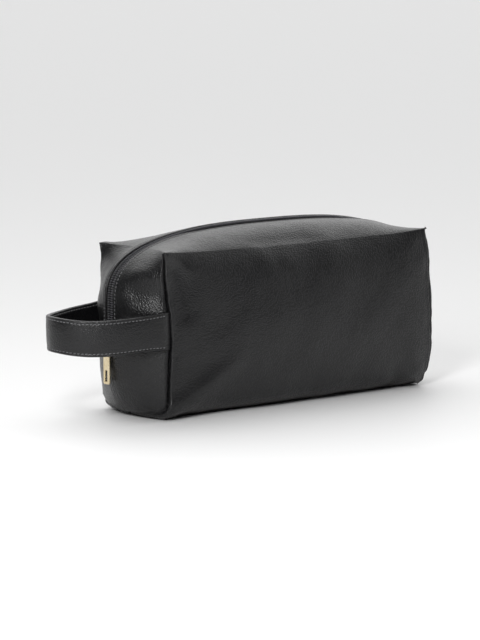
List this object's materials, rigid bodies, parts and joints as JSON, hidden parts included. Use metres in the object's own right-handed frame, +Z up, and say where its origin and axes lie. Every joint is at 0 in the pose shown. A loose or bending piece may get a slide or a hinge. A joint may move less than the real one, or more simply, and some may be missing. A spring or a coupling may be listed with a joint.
{
  "type": "makeup bag",
  "caption": "Soft box-shaped zip-top makeup bag with a padded carry loop across one end and a metal pull tab.",
  "frame": {"origin": "centre of the flat base, at the height the bag stands on", "axes": "+X runs along the bag away from the carry loop, the front wall faces -Y, +Z up"},
  "size_m": [0.3438, 0.0938, 0.1353],
  "materials": {
    "leather": "black pebble-grain faux leather, semi-gloss",
    "lining": "black woven polyester",
    "wadding": "needled felt",
    "stiffener": "bonded fibre board",
    "zip_tape": "black woven tape",
    "zip_coil": "black nylon coil",
    "thread": "black bonded thread",
    "metal": "pale gold plating on die-cast zinc"
  },
  "bodies": {
    "shell": {"base_panel": "leather", "base_board": "stiffener", "base_lining": "lining", "front_panel_lower": "leather", "back_panel_lower": "leather", "loop_end_panel_lower": "leather", "plain_end_panel_lower": "leather", "front_wadding_lower": "wadding", "back_wadding_lower": "wadding", "front_lining_lower": "lining", "back_lining_lower": "lining", "loop_end_lining_lower": "lining", "plain_end_lining_lower": "lining", "zip_bottom_stop": "metal"},
    "front_half": {"strap_root_front": "leather", "front_panel_upper": "leather", "front_loop_end_panel": "leather", "front_plain_end_panel": "leather", "front_wadding_upper": "wadding", "front_lining_upper": "lining", "front_loop_end_lining": "lining", "front_plain_end_lining": "lining", "front_zip_tape": "zip_tape", "front_zip_coil": "zip_coil", "front_zip_stop": "metal", "front_zip_stitching": "thread"},
    "back_half": {"strap_root_back": "leather", "back_panel_upper": "leather", "back_loop_end_panel": "leather", "back_plain_end_panel": "leather", "back_wadding_upper": "wadding", "back_lining_upper": "lining", "back_loop_end_lining": "lining", "back_plain_end_lining": "lining", "back_zip_tape": "zip_tape", "back_zip_coil": "zip_coil", "back_zip_stop": "metal", "back_zip_stitching": "thread"},
    "zip_slider": {"slider_body": "metal", "slider_bridge": "metal"},
    "zip_pull": {"pull_tab": "metal"},
    "carry_loop": {"strap_outer": "leather", "strap_inner": "leather", "strap_core": "wadding", "strap_stitching_upper": "thread", "strap_stitching_lower": "thread"}
  },
  "joints": [
    {"name": "front_mouth", "type": "hinge", "parent": "shell", "child": "front_half", "pos_m": [0, -0.048, 0.046], "axis": [1, 0, 0], "range_deg": [0, 18]},
    {"name": "back_mouth", "type": "hinge", "parent": "shell", "child": "back_half", "pos_m": [0, 0.048, 0.046], "axis": [-1, 0, 0], "range_deg": [0, 18]},
    {"name": "zip_run", "type": "slide", "parent": "shell", "child": "zip_slider", "axis": [0, 0, 1], "range_m": [0, 0.021]},
    {"name": "pull_swing", "type": "hinge", "parent": "zip_slider", "child": "zip_pull", "pos_m": [-0.1512, 0, 0.0561], "axis": [0, 1, 0], "range_deg": [0, 170]},
    {"name": "loop_bend", "type": "hinge", "parent": "shell", "child": "carry_loop", "pos_m": [-0.144, 0, 0.066], "axis": [0, 1, 0], "range_deg": [-15, 20], "stiffness_Nm_per_rad": 0.25, "springref_deg": 1.15}
  ]
}
